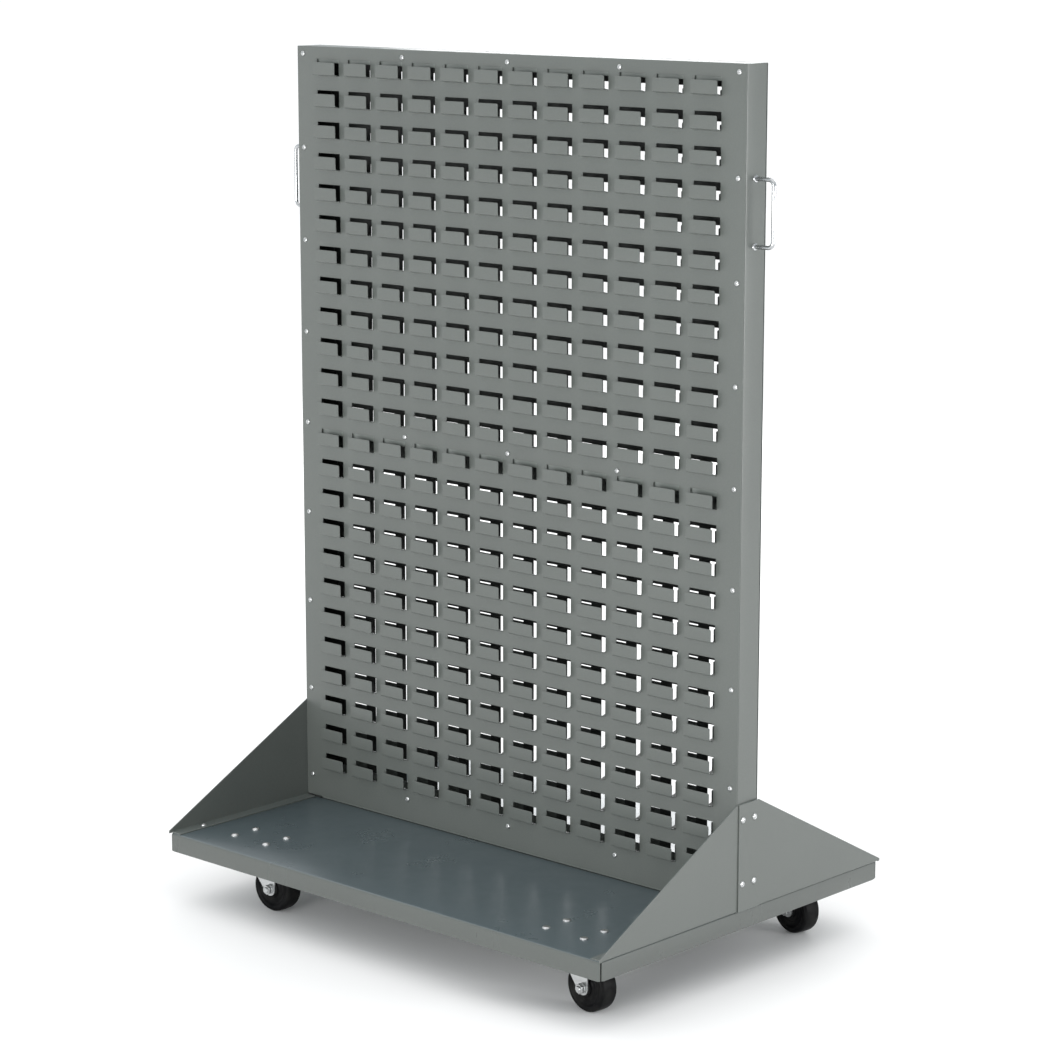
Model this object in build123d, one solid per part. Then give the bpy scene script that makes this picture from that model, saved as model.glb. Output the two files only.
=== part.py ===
"""Mobile double-sided louvered panel rack, in millimetres.

Two louvered sheet-steel panels stand back to back on a narrow upright frame. The frame stands on a
folded steel tray, is braced by four gusset plates and rolls on four swivel casters.
Origin: on the floor under the middle of the rack. +X is to the right, the front panel faces -Y, +Z is up.
"""
from build123d import *
import math
import os

# ---- driving dimensions ----
width = 914.4
depth = 647.7
sheet = 1.5
channel_sheet = 2.7
gusset_sheet = 1.9
panel_sheet = 1.2
fit_gap = 0.05

# casters
wheel_radius = 38.1
wheel_tread = 31.75
caster_height = 108.0
caster_trail = 36.0
caster_x = 336.0
caster_y = 241.0
bolt_pitch_x = 73.0
bolt_pitch_y = 44.5
caster_corners = {
    "front_left": (-1, -1, 4.0),
    "front_right": (1, -1, -5.0),
    "rear_left": (-1, 1, -3.0),
    "rear_right": (1, 1, -10.0),
}

# base tray and its channels
flange_height = 30.0
bend_radius = 3.5
shelf_top = caster_height + channel_sheet + sheet
tray_bottom = shelf_top - flange_height
channel_width = 100.0
channel_flange = 18.0

# upright frame
upright_depth = 48.0
frame_depth = upright_depth - 2 * panel_sheet
rail_depth = frame_depth - 2 * sheet
post_flange = 32.0
panel_height = 1231.9
panel_bottom = shelf_top + 4.0
panel_top = panel_bottom + panel_height
rail_length = width - 2 * sheet - 0.4
top_rail_height = 25.4
middle_rail_height = 33.0
bottom_rail_height = 50.0

# louvres
columns = 12
rows = 24
column_pitch = 70.5
row_pitch = 49.4
window_width = 49.0
window_height = 26.7
first_row_drop = 19.2
rear_row_shift = 17.4
rear_middle_screw_shift = 22.0
tab_reach = 10.0
tab_slant = 2.0
tab_top_gap = 5.0

# screws that hold the panels
panel_screw_pitch_x = 222.25
panel_screw_drop = 11.8
panel_screw_pitch_z = 3 * row_pitch
panel_screw_rows = 9
panel_screw_radius = 2.1
panel_screw_head = (4.0, 2.2)
panel_screw_length = 9.0

# gussets
gusset_height = 164.0
gusset_overhang = 3.0
gusset_flange = 20.0
gusset_seam_y = -22.0
gusset_screw_y = 13.5
gusset_screw_heights = (42.0, 140.0)
gusset_base_screw_inset = 60.0
gusset_screw_radius = 2.4
gusset_screw_head = (4.8, 2.6)
gusset_side_screw_length = 12.0
gusset_base_screw_length = 10.0
gusset_tip_height = 4.0

# handles
handle_pitch = 96.0
handle_height = 1139.0
handle_reach = 32.5
wire_radius = 3.2
handle_bend = 9.0
handle_screw_radius = 2.0
handle_screw_head = (4.0, 2.4)
handle_screw_length = 10.0

# bolts through the tray
upright_bolt_x = (-400.0, -140.0, 140.0, 400.0)
upright_bolt_radius = 3.1
upright_bolt_head = (6.5, 3.5)
upright_bolt_length = 14.0
upright_nut_flats = 11.1
upright_nut_height = 5.5
caster_bolt_radius = 3.9
caster_bolt_head = (6.3, 3.2)
caster_bolt_length = 20.0
caster_nut_flats = 12.7
caster_nut_height = 6.5

# caster pieces
plate_sheet = 3.0
plate_length = 92.0
plate_width = 60.3
plate_corner = 6.0
fork_sheet = 2.5
crown_top = 95.0
crown_front = -22.0
crown_back = 30.0
crown_radius = 26.0
leg_shoulder = 26.0
leg_inside = wheel_tread / 2 + 1.3
leg_end_radius = 11.0
race_radius = 26.0
race_bore = 13.5
race_gap = 3.2
race_edge = 1.5
ball_radius = 2.8
ball_circle = 20.0
ball_count = 14
kingpin_radius = 6.0
collar_radius = 10.0
collar_height = 4.0
collar_gap = 0.3
sink_depth = 3.0
axle_radius = 4.7
axle_flats = 14.2
axle_head_height = 5.0
axle_nut_height = 7.5
axle_overhang = 9.5
sleeve_radius = 7.9


def write(name, shape):
    export_step(shape, f"parts/{name}.step")


def block(x0, x1, y0, y1, z0, z1):
    """A box between two corners."""
    size = (x1 - x0, y1 - y0, z1 - z0)
    centre = ((x0 + x1) / 2, (y0 + y1) / 2, (z0 + z1) / 2)
    return Pos(*centre) * Box(*size)


def rod(point, direction, radius, length):
    """A cylinder that starts at a point and runs along a direction."""
    start = Plane(origin=point, z_dir=direction)
    return extrude(start * Circle(radius), length)


def group(shapes):
    """Several separate solids in one node."""
    return Compound(children=list(shapes))


def screw(point, direction, head, shank_radius, shank_length):
    """A screw with a domed head. The point is where the head meets the surface; direction is outward."""
    head_radius, head_height = head
    seat = Plane(origin=point, z_dir=direction)
    rim = 0.25 * head_height
    rise = head_height - rim
    dome = (head_radius**2 + rise**2) / (2 * rise)
    half_angle = math.asin(head_radius / dome) / 2
    crown = (dome * math.sin(half_angle), head_height - dome + dome * math.cos(half_angle))
    outline = Polyline(
        (0, head_height),
        (0, -shank_length),
        (shank_radius, -shank_length),
        (shank_radius, 0),
        (head_radius, 0),
        (head_radius, rim),
    )
    arc = ThreePointArc((head_radius, rim), crown, (0, head_height))
    profile = make_face(outline.edges() + arc.edges())
    return seat * revolve(Plane.XZ * profile, Axis.Z)


def hex_nut(point, direction, across_flats, height, bore):
    """A hexagon nut that sits on a surface and points away from it."""
    seat = Plane(origin=point, z_dir=direction)
    outline = RegularPolygon(across_flats / 2, 6, major_radius=False)
    return extrude(seat * (outline - Circle(bore)), height)


# ---- places that several parts share ----
def panel_screw_places(side_y):
    """(x, z) of the screws round a panel: a full row at the top, middle and bottom, pairs between them."""
    edge = 2 * panel_screw_pitch_x
    # the rear panel's inner screws stand midway between its columns, clear of its lower set windows
    inner = panel_screw_pitch_x if side_y < 0 else 3 * column_pitch
    places = []
    for row in range(panel_screw_rows):
        z = panel_top - panel_screw_drop - row * panel_screw_pitch_z
        full = row % 4 == 0
        if side_y > 0 and row == panel_screw_rows // 2:
            z -= rear_middle_screw_shift
        for x in (-edge, -inner, 0, inner, edge) if full else (-edge, edge):
            places.append((x, z))
    return places


def caster_bolt_places():
    places = []
    for side_x, side_y, _ in caster_corners.values():
        for step_x in (-0.5, 0.5):
            for step_y in (-0.5, 0.5):
                x = side_x * caster_x + step_x * bolt_pitch_x
                y = side_y * caster_y + step_y * bolt_pitch_y
                places.append((x, y))
    return places


def gusset_base_screw_places():
    x = width / 2 - gusset_flange / 2
    y = depth / 2 - gusset_base_screw_inset
    return [(side_x * x, side_y * y) for side_x in (-1, 1) for side_y in (-1, 1)]


def gusset_side_screw_places():
    """(side, y, z) of the screws through both gussets into a post."""
    return [
        (side, y, shelf_top + height)
        for side in (-1, 1)
        for y in (-gusset_screw_y, gusset_screw_y)
        for height in gusset_screw_heights
    ]


def handle_leg_places():
    """(side, z) of each handle leg."""
    return [(side, handle_height + end * handle_pitch / 2) for side in (-1, 1) for end in (-1, 1)]


# ---- base ----
def base_tray():
    outer = block(-width / 2, width / 2, -depth / 2, depth / 2, tray_bottom, shelf_top)
    outer = fillet(outer.faces().sort_by(Axis.Z)[-1].edges(), bend_radius)
    half_x = width / 2 - sheet
    half_y = depth / 2 - sheet
    inner = block(-half_x, half_x, -half_y, half_y, tray_bottom - 1, shelf_top - sheet)
    inner = fillet(inner.faces().sort_by(Axis.Z)[-1].edges(), bend_radius - sheet)
    tray = outer - inner
    # open corners, where the folded side flanges stop short of the front and rear ones
    slit = 1.6
    for side_x in (-1, 1):
        for side_y in (-1, 1):
            x = side_x * width / 2
            y = side_y * (half_y - slit / 2)
            z = (tray_bottom + shelf_top - bend_radius) / 2
            tray -= Pos(x, y, z - 1) * Box(4 * sheet, slit, shelf_top - bend_radius - tray_bottom + 2)
    top = shelf_top + 1
    for x, y in caster_bolt_places():
        tray -= rod((x, y, top), (0, 0, -1), caster_bolt_radius + fit_gap, 2 * sheet)
    for x, y in gusset_base_screw_places():
        tray -= rod((x, y, top), (0, 0, -1), gusset_screw_radius + fit_gap, 2 * sheet)
    for x in upright_bolt_x:
        tray -= rod((x, 0, top), (0, 0, -1), upright_bolt_radius + fit_gap, 2 * sheet)
    return tray


def base_channel(side):
    """An inverted channel under the tray that carries two casters."""
    length = depth / 2 - sheet - 3
    x = side * caster_x
    top = shelf_top - sheet
    web_bottom = top - channel_sheet
    half = channel_width / 2
    channel = block(x - half, x + half, -length, length, web_bottom - channel_flange, top)
    channel = fillet(channel.edges().filter_by(Axis.Y).sort_by(Axis.Z)[-2:], bend_radius)
    inside = half - channel_sheet
    channel -= block(x - inside, x + inside, -length, length, web_bottom - channel_flange, web_bottom)
    for hole_x, hole_y in caster_bolt_places():
        if hole_x * side > 0:
            channel -= rod((hole_x, hole_y, top + 1), (0, 0, -1), caster_bolt_radius + fit_gap, 6)
    return channel


# ---- upright frame ----
def upright_post(side):
    """A folded C post. Its web is the rack's side face and its flanges back the panels."""
    x_out = side * width / 2
    x_in = side * (width / 2 - post_flange)
    low, high = sorted((x_out, x_in))
    half = frame_depth / 2
    post = block(low, high, -half, half, shelf_top, panel_top)
    web_in = side * (width / 2 - sheet)
    low, high = sorted((web_in, side * (width / 2 - post_flange - 1)))
    inside = half - sheet
    post -= block(low, high, -inside, inside, shelf_top, panel_top)
    for side_y in (-1, 1):
        for x, z in panel_screw_places(side_y):
            if x * side > 2 * panel_screw_pitch_x - 1:
                post -= panel_screw_hole(x, z, side_y)
    for hole_side, y, z in gusset_side_screw_places():
        if hole_side == side:
            post -= rod((x_out + side, y, z), (-side, 0, 0), gusset_screw_radius + fit_gap, 4)
    for hole_side, z in handle_leg_places():
        if hole_side == side:
            post -= rod((x_out + side, 0, z), (-side, 0, 0), handle_screw_radius + fit_gap, 4)
    return post


def panel_screw_hole(x, z, side_y):
    """A cutter for the hole behind one panel screw; it stops short of the frame's other side."""
    start = (x, side_y * frame_depth, z)
    return rod(start, (0, -side_y, 0), panel_screw_radius + fit_gap, 0.9 * frame_depth)


def drilled(rail, bottom, top):
    """A rail with its panel screws' holes."""
    for side_y in (-1, 1):
        for x, z in panel_screw_places(side_y):
            if bottom < z < top:
                rail -= panel_screw_hole(x, z, side_y)
    return rail


def cross_rail(bottom, top, web_at_top):
    """A folded channel between the posts, nested inside their flanges."""
    half_x = rail_length / 2
    half = rail_depth / 2
    rail = block(-half_x, half_x, -half, half, bottom, top)
    low = bottom if web_at_top else bottom + sheet
    high = top - sheet if web_at_top else top
    inside = half - sheet
    rail -= block(-half_x, half_x, -inside, inside, low, high)
    return drilled(rail, bottom, top)


def top_rail():
    return cross_rail(panel_top - top_rail_height, panel_top, True)


def middle_rail():
    """A Z-shaped rail: its front flange stands up behind the front panel, its rear one hangs down."""
    half_x = rail_length / 2
    half = rail_depth / 2
    web = panel_top - panel_screw_drop - 4 * panel_screw_pitch_z - middle_rail_height / 2
    top = web + middle_rail_height
    bottom = web + sheet - middle_rail_height
    rail = block(-half_x, half_x, -half, half, web, web + sheet)
    rail += block(-half_x, half_x, -half, -half + sheet, web, top)
    rail += block(-half_x, half_x, half - sheet, half, bottom, web + sheet)
    return drilled(rail.clean(), bottom, top)


def bottom_rail():
    rail = cross_rail(shelf_top, shelf_top + bottom_rail_height, False)
    for x in upright_bolt_x:
        rail -= rod((x, 0, shelf_top - 1), (0, 0, 1), upright_bolt_radius + fit_gap, 2 * sheet)
    return rail


# ---- louvered panels ----
def louvre_places(side_y):
    """(x, z) of the middle of each window's lower edge. The rear panel's rows are set lower."""
    shift = rear_row_shift if side_y > 0 else 0
    first_x = -(columns - 1) / 2 * column_pitch
    first_z = panel_top - first_row_drop - window_height - shift
    return [
        (first_x + column * column_pitch, first_z - row * row_pitch)
        for row in range(rows)
        for column in range(columns)
    ]


def louvre_tab():
    """One lanced tab: it runs out nearly level from the window's lower edge, then stands in front of it."""
    tab_top = window_height - tab_top_gap
    outer = tab_reach
    inner = tab_reach - panel_sheet
    side_view = Polyline(
        (0, 0),
        (outer, tab_slant),
        (outer, tab_top),
        (inner, tab_top),
        (inner, tab_slant + panel_sheet),
        (-panel_sheet, panel_sheet),
        (-panel_sheet, 0),
        close=True,
    )
    half = window_width / 2
    # the sketch's X points out of the panel's face, towards -Y, and its Y points up
    plane = Plane(origin=(half, 0, 0), x_dir=(0, -1, 0), z_dir=(-1, 0, 0))
    face = plane * make_face(side_view.edges())
    return extrude(face, 2 * half, dir=(-1, 0, 0))


def louver_panel(side_y):
    """A louvered sheet, drawn facing -Y; the rear one is then turned half round."""
    outline = Rectangle(width, panel_height)
    middle = (panel_bottom + panel_top) / 2
    windows = [
        Pos(x, z + window_height / 2 - middle) * Rectangle(window_width, window_height)
        for x, z in louvre_places(side_y)
    ]
    holes = [
        Pos(x, z - middle) * Circle(panel_screw_radius + fit_gap)
        for x, z in panel_screw_places(side_y)
    ]
    cuts = [cut.face() for cut in windows + holes]
    flat = outline.face().make_holes([cut.outer_wire() for cut in cuts])
    front = -upright_depth / 2
    # the sketch is drawn in X and Z, on the panel's front face
    face = Plane(origin=(0, front, middle), x_dir=(1, 0, 0), z_dir=(0, -1, 0)) * Sketch(flat.wrapped)
    panel = extrude(face, panel_sheet, dir=(0, 1, 0))
    tab = louvre_tab()
    tabs = [Pos(x, front, z) * tab for x, z in louvre_places(side_y)]
    panel = panel.fuse(*tabs).clean()
    if side_y > 0:
        panel = Rot(0, 0, 180) * panel
    return panel


# ---- gussets ----
def gusset(side_x, front):
    """A triangular brace plate with an inturned foot. The rear plate laps over the front one on the post."""
    side_y = -1 if front else 1
    tip = depth / 2 + gusset_overhang
    lap = upright_depth / 2 - 2 if front else -gusset_seam_y
    layer = 0 if front else 1
    inner_x = width / 2 + layer * gusset_sheet
    outer_x = inner_x + gusset_sheet
    top = shelf_top + gusset_height
    outline = Polyline(
        (-lap, shelf_top),
        (tip, shelf_top),
        (tip, shelf_top + gusset_tip_height),
        (upright_depth / 2, top),
        (-lap, top),
        close=True,
    )
    plate = Plane(origin=(inner_x, 0, 0), x_dir=(0, 1, 0), z_dir=(1, 0, 0)) * make_face(outline.edges())
    brace = extrude(plate, gusset_sheet, dir=(1, 0, 0))
    foot_start = upright_depth / 2 + 1
    foot_in = width / 2 - gusset_flange
    foot = block(foot_in, inner_x, foot_start, depth / 2 - 2, shelf_top, shelf_top + gusset_sheet)
    brace = brace.fuse(foot)
    for screw_y in (-gusset_screw_y, gusset_screw_y):
        for height in gusset_screw_heights:
            start = (outer_x + 1, screw_y, shelf_top + height)
            brace -= rod(start, (-1, 0, 0), gusset_screw_radius + fit_gap, 3 * gusset_sheet)
    foot_middle = width / 2 - gusset_flange / 2
    start = (foot_middle, depth / 2 - gusset_base_screw_inset, shelf_top + 2 * gusset_sheet)
    brace -= rod(start, (0, 0, -1), gusset_screw_radius + fit_gap, 3 * gusset_sheet)
    if side_x < 0:
        brace = mirror(brace, about=Plane.YZ)
    if side_y < 0:
        brace = mirror(brace, about=Plane.XZ)
    return brace


# ---- handles ----
def handle(side):
    """A bent wire pull that stands out from a post's side face."""
    half = handle_pitch / 2
    corners = ((0, -half), (handle_reach, -half), (handle_reach, half), (0, half))
    path = FilletPolyline(*corners, radius=handle_bend)
    face = Plane(origin=(side * width / 2, 0, handle_height), x_dir=(side, 0, 0), z_dir=(0, -side, 0))
    wire = face * path
    start = side * width / 2
    section = Plane(origin=(start, 0, handle_height - half), z_dir=(side, 0, 0)) * Circle(wire_radius)
    bar = sweep(section, path=wire)
    for hole_side, z in handle_leg_places():
        if hole_side == side:
            hole_depth = handle_screw_length + 1
            bar -= rod((start - side, 0, z), (side, 0, 0), handle_screw_radius + fit_gap, hole_depth)
    return bar


# ---- fasteners ----
def panel_screws(side_y):
    face = side_y * upright_depth / 2
    return group(
        screw((x, face, z), (0, side_y, 0), panel_screw_head, panel_screw_radius, panel_screw_length)
        for x, z in panel_screw_places(side_y)
    )


def gusset_screws():
    head, radius = gusset_screw_head, gusset_screw_radius
    outside = width / 2 + 2 * gusset_sheet
    foot_top = shelf_top + gusset_sheet
    sides = [
        screw((side * outside, y, z), (side, 0, 0), head, radius, gusset_side_screw_length)
        for side, y, z in gusset_side_screw_places()
    ]
    feet = [
        screw((x, y, foot_top), (0, 0, 1), head, radius, gusset_base_screw_length)
        for x, y in gusset_base_screw_places()
    ]
    return group(sides + feet)


def handle_screws():
    """Screws from inside the posts into the tapped handle legs."""
    inside = width / 2 - sheet
    head, radius = handle_screw_head, handle_screw_radius
    return group(
        screw((side * inside, 0, z), (-side, 0, 0), head, radius, handle_screw_length)
        for side, z in handle_leg_places()
    )


def caster_bolts():
    return group(
        screw((x, y, shelf_top), (0, 0, 1), caster_bolt_head, caster_bolt_radius, caster_bolt_length)
        for x, y in caster_bolt_places()
    )


def caster_nuts():
    plate_bottom = caster_height - plate_sheet
    bore = caster_bolt_radius + fit_gap
    return group(
        hex_nut((x, y, plate_bottom), (0, 0, -1), caster_nut_flats, caster_nut_height, bore)
        for x, y in caster_bolt_places()
    )


def upright_bolts():
    """Bolts from under the tray up through the bottom rail, with a nut on each."""
    under = shelf_top - sheet
    solids = []
    radius = upright_bolt_radius
    for x in upright_bolt_x:
        solids.append(screw((x, 0, under), (0, 0, -1), upright_bolt_head, radius, upright_bolt_length))
        nut_base = (x, 0, shelf_top + sheet)
        solids.append(hex_nut(nut_base, (0, 0, 1), upright_nut_flats, upright_nut_height, radius + fit_gap))
    return group(solids)


# ---- casters: drawn about the swivel axis, trailing along +X, then turned and moved ----
def caster_plate():
    outline = RectangleRounded(plate_length, plate_width, plate_corner)
    bolts = [
        Pos(step_x * bolt_pitch_x, step_y * bolt_pitch_y) * Circle(caster_bolt_radius + fit_gap)
        for step_x in (-0.5, 0.5)
        for step_y in (-0.5, 0.5)
    ]
    for bolt in bolts:
        outline -= bolt
    outline -= Circle(kingpin_radius + fit_gap)
    plate = extrude(Plane.XY.offset(caster_height - plate_sheet) * outline, plate_sheet)
    sink_middle = caster_height - sink_depth / 2
    narrow = kingpin_radius + 0.2
    sink = Pos(0, 0, sink_middle) * Cone(narrow, narrow + sink_depth, sink_depth)
    return plate - sink


def caster_race():
    """The fixed upper race, a ring with a groove for the balls."""
    bottom = crown_top + race_gap
    height = caster_height - plate_sheet - bottom
    ring = Pos(0, 0, bottom + height / 2) * (Cylinder(race_radius, height) - Cylinder(race_bore, height))
    ring = fillet(ring.edges().filter_by(GeomType.CIRCLE).sort_by(SortBy.RADIUS)[-2:], race_edge)
    groove = Pos(0, 0, crown_top + ball_radius + fit_gap) * Torus(ball_circle, ball_radius + 0.3)
    return ring - groove


def caster_balls():
    centre_z = crown_top + ball_radius + fit_gap
    return group(
        Rot(0, 0, ball * 360 / ball_count) * Pos(ball_circle, 0, centre_z) * Sphere(ball_radius)
        for ball in range(ball_count)
    )


def caster_kingpin():
    """The pin that the fork turns on: a countersunk head in the plate and a clinched collar underneath."""
    radius = kingpin_radius
    crown_bottom = crown_top - fork_sheet
    collar_top = crown_bottom - collar_gap
    collar_bottom = collar_top - collar_height
    bevel = collar_height / 2
    head_top = caster_height - 0.1
    profile = Polyline(
        (0, collar_bottom),
        (collar_radius - bevel, collar_bottom),
        (collar_radius, collar_bottom + bevel),
        (collar_radius, collar_top),
        (radius, collar_top),
        (radius, head_top - sink_depth),
        (radius + sink_depth - 0.1, head_top),
        (0, head_top),
        close=True,
    )
    return revolve(Plane.XZ * make_face(profile.edges()), Axis.Z)


def leg_outline():
    """The fork leg from the side: broad at the crown, tapering to a round end at the axle."""
    axle = Vector(caster_trail, wheel_radius)
    corner = Vector(crown_front, crown_top)
    to_axle = axle - corner
    reach = to_axle.length
    turn = math.degrees(math.asin(leg_end_radius / reach))
    along = math.sqrt(reach**2 - leg_end_radius**2)
    touch = corner + to_axle.normalized().rotate(Axis.Z, -turn) * along
    back = axle.X + leg_end_radius
    lowest = (axle.X, axle.Y - leg_end_radius)
    sides = Polyline(
        (back, axle.Y),
        (back, crown_top - leg_shoulder),
        (crown_back, crown_top),
        (corner.X, corner.Y),
        (touch.X, touch.Y),
    )
    end = ThreePointArc((touch.X, touch.Y), lowest, (back, axle.Y))
    return make_face(sides.edges() + end.edges())


def caster_fork():
    outline = leg_outline()
    outside = leg_inside + fork_sheet
    legs = []
    for low in (-outside, leg_inside):
        face = Plane(origin=(0, low, 0), x_dir=(1, 0, 0), z_dir=(0, -1, 0)) * outline
        legs.append(extrude(face, fork_sheet, dir=(0, 1, 0)))
    crown = block(crown_front, crown_back, -outside, outside, crown_top - fork_sheet, crown_top)
    disc = Pos(0, 0, crown_top - fork_sheet / 2) * Cylinder(crown_radius, fork_sheet)
    fork = (crown + disc + legs[0] + legs[1]).clean()
    fork -= Pos(0, 0, crown_top) * Cylinder(kingpin_radius + 0.08, 4 * fork_sheet)
    start = (caster_trail, -2 * outside, wheel_radius)
    fork -= rod(start, (0, 1, 0), axle_radius + fit_gap, 4 * outside)
    return fork


def about_axle(profile_points):
    """Revolves a half section, given as (distance along the axle, radius), about the axle."""
    flat = make_face(Polyline(*profile_points, close=True).edges())
    turned = Plane(origin=(caster_trail, 0, wheel_radius), x_dir=(0, 1, 0), z_dir=(1, 0, 0)) * flat
    axle = Axis((caster_trail, 0, wheel_radius), (0, 1, 0))
    return revolve(turned, axle)


def caster_wheel():
    """A moulded wheel with a crowned tread, dished sides and a long hub."""
    half = wheel_tread / 2
    hub = leg_inside - 0.4
    bore = sleeve_radius + fit_gap
    right = [
        (hub, bore),
        (hub, 13),
        (half - 4, 15.5),
        (half - 5, 27),
        (half - 1, 30),
        (half, 33.5),
        (half - 1.6, wheel_radius - 1.4),
        (half - 5, wheel_radius),
    ]
    left = [(-y, r) for y, r in reversed(right)]
    return about_axle(right + left)


def caster_sleeve():
    inside = axle_radius + fit_gap
    end = leg_inside - fit_gap
    return about_axle([(-end, inside), (end, inside), (end, sleeve_radius), (-end, sleeve_radius)])


def caster_axle():
    """The axle bolt: a hexagon head outside the far leg, its threaded end past the near leg's nut."""
    outside = leg_inside + fork_sheet
    centre = (caster_trail, outside, wheel_radius)
    shank = rod(centre, (0, -1, 0), axle_radius, 2 * outside + axle_overhang)
    hexagon = RegularPolygon(axle_flats / 2, 6, major_radius=False)
    head = extrude(Plane(origin=centre, z_dir=(0, 1, 0)) * hexagon, axle_head_height)
    return shank + head


def caster_axle_nut():
    outside = leg_inside + fork_sheet
    seat = (caster_trail, -outside, wheel_radius)
    return hex_nut(seat, (0, -1, 0), axle_flats, axle_nut_height, axle_radius + fit_gap)


caster_pieces = {
    "plate": caster_plate,
    "race": caster_race,
    "balls": caster_balls,
    "kingpin": caster_kingpin,
    "fork": caster_fork,
    "wheel": caster_wheel,
    "sleeve": caster_sleeve,
    "axle_bolt": caster_axle,
    "axle_nut": caster_axle_nut,
}
fixed_caster_pieces = ("plate", "race", "kingpin")


def write_casters():
    for piece, make in caster_pieces.items():
        shape = make()
        for corner, (side_x, side_y, yaw) in caster_corners.items():
            turn = 0 if piece in fixed_caster_pieces else yaw
            place = Pos(side_x * caster_x, side_y * caster_y, 0) * Rot(0, 0, turn)
            write(f"caster_{corner}_{piece}", place * shape)


def main():
    os.makedirs("parts", exist_ok=True)
    write("base_tray", base_tray())
    for side, name in ((-1, "left"), (1, "right")):
        write(f"base_channel_{name}", base_channel(side))
        write(f"upright_post_{name}", upright_post(side))
        write(f"gusset_front_{name}", gusset(side, True))
        write(f"gusset_rear_{name}", gusset(side, False))
        write(f"handle_{name}", handle(side))
    write("top_rail", top_rail())
    write("middle_rail", middle_rail())
    write("bottom_rail", bottom_rail())
    write("louver_panel_front", louver_panel(-1))
    write("louver_panel_rear", louver_panel(1))
    write("panel_screws_front", panel_screws(-1))
    write("panel_screws_rear", panel_screws(1))
    write("gusset_screws", gusset_screws())
    write("handle_screws", handle_screws())
    write("caster_bolts", caster_bolts())
    write("caster_nuts", caster_nuts())
    write("upright_bolts", upright_bolts())
    write_casters()


main()
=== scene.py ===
"""Looks for the mobile double-sided louvered panel rack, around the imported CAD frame. Metres, +Z up."""
import math
import bmesh
import bpy
import numpy as np
from mathutils import Matrix, Vector


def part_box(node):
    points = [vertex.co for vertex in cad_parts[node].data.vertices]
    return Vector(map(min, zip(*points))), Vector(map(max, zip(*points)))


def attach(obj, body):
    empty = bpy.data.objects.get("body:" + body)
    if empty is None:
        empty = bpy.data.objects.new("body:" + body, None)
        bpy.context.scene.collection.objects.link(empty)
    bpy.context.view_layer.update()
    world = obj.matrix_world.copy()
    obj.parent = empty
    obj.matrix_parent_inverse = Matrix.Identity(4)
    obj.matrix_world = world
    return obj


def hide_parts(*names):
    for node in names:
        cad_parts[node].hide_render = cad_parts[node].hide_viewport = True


MM = 0.001
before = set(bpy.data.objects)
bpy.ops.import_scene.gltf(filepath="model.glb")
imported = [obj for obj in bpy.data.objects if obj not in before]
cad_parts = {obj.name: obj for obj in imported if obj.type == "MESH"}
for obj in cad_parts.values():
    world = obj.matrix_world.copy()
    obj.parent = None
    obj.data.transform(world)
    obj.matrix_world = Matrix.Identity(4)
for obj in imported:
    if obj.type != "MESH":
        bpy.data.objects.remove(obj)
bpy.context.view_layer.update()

# ---- sizes, from the frame where it has them ----
tray_low, tray_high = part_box("base_tray")
panel_low, panel_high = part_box("louver_panel_front")
post_low, post_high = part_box("upright_post_right")
gusset_low, gusset_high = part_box("gusset_front_right")
rear_gusset_low, rear_gusset_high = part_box("gusset_rear_right")
SHELF_TOP = tray_high.z
HALF_WIDTH = tray_high.x
HALF_DEPTH = tray_high.y
SHEET = 1.5 * MM
GUSSET_SHEET = 1.9 * MM
PANEL_SHEET = 1.2 * MM
CHANNEL_SHEET = 2.7 * MM
UPRIGHT_HALF = post_high.y + PANEL_SHEET
PANEL_TOP = panel_high.z
PANEL_BOTTOM = panel_low.z
TAB_REACH = -UPRIGHT_HALF - panel_low.y
COLUMNS = 12
ROWS = 24
COLUMN_PITCH = 70.5 * MM
ROW_PITCH = 49.4 * MM
WINDOW_WIDTH = 49 * MM
WINDOW_HEIGHT = 26.7 * MM
FIRST_ROW_DROP = 19.2 * MM
REAR_ROW_SHIFT = 17.4 * MM
REAR_MIDDLE_SCREW_SHIFT = 22 * MM
TAB_SLANT = 2.0 * MM
TAB_TOP_GAP = 5 * MM
SCREW_PITCH_X = 222.25 * MM
SCREW_DROP = 11.8 * MM
SCREW_ROWS = 9
CASTERS = {
    "front_left": (-1, -1, 4),
    "front_right": (1, -1, -5),
    "rear_left": (-1, 1, -3),
    "rear_right": (1, 1, -10),
}
CASTER_X = 336 * MM
CASTER_Y = 241 * MM
TRAIL = 36 * MM
CASTER_TOP = 108 * MM
CROWN_TOP = 95 * MM
PLATE_SHEET = 3 * MM
BOLT_STEP_X = 36.5 * MM
BOLT_STEP_Y = 22.25 * MM
AXLE_Z = 38.1 * MM
AXLE_RADIUS = 4.7 * MM
WHEEL_TREAD = 31.75 * MM
FORK_SHEET = 2.5 * MM
FORK_HALF = WHEEL_TREAD / 2 + 1.3 * MM + FORK_SHEET
GUSSET_FOOT = 20 * MM


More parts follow.
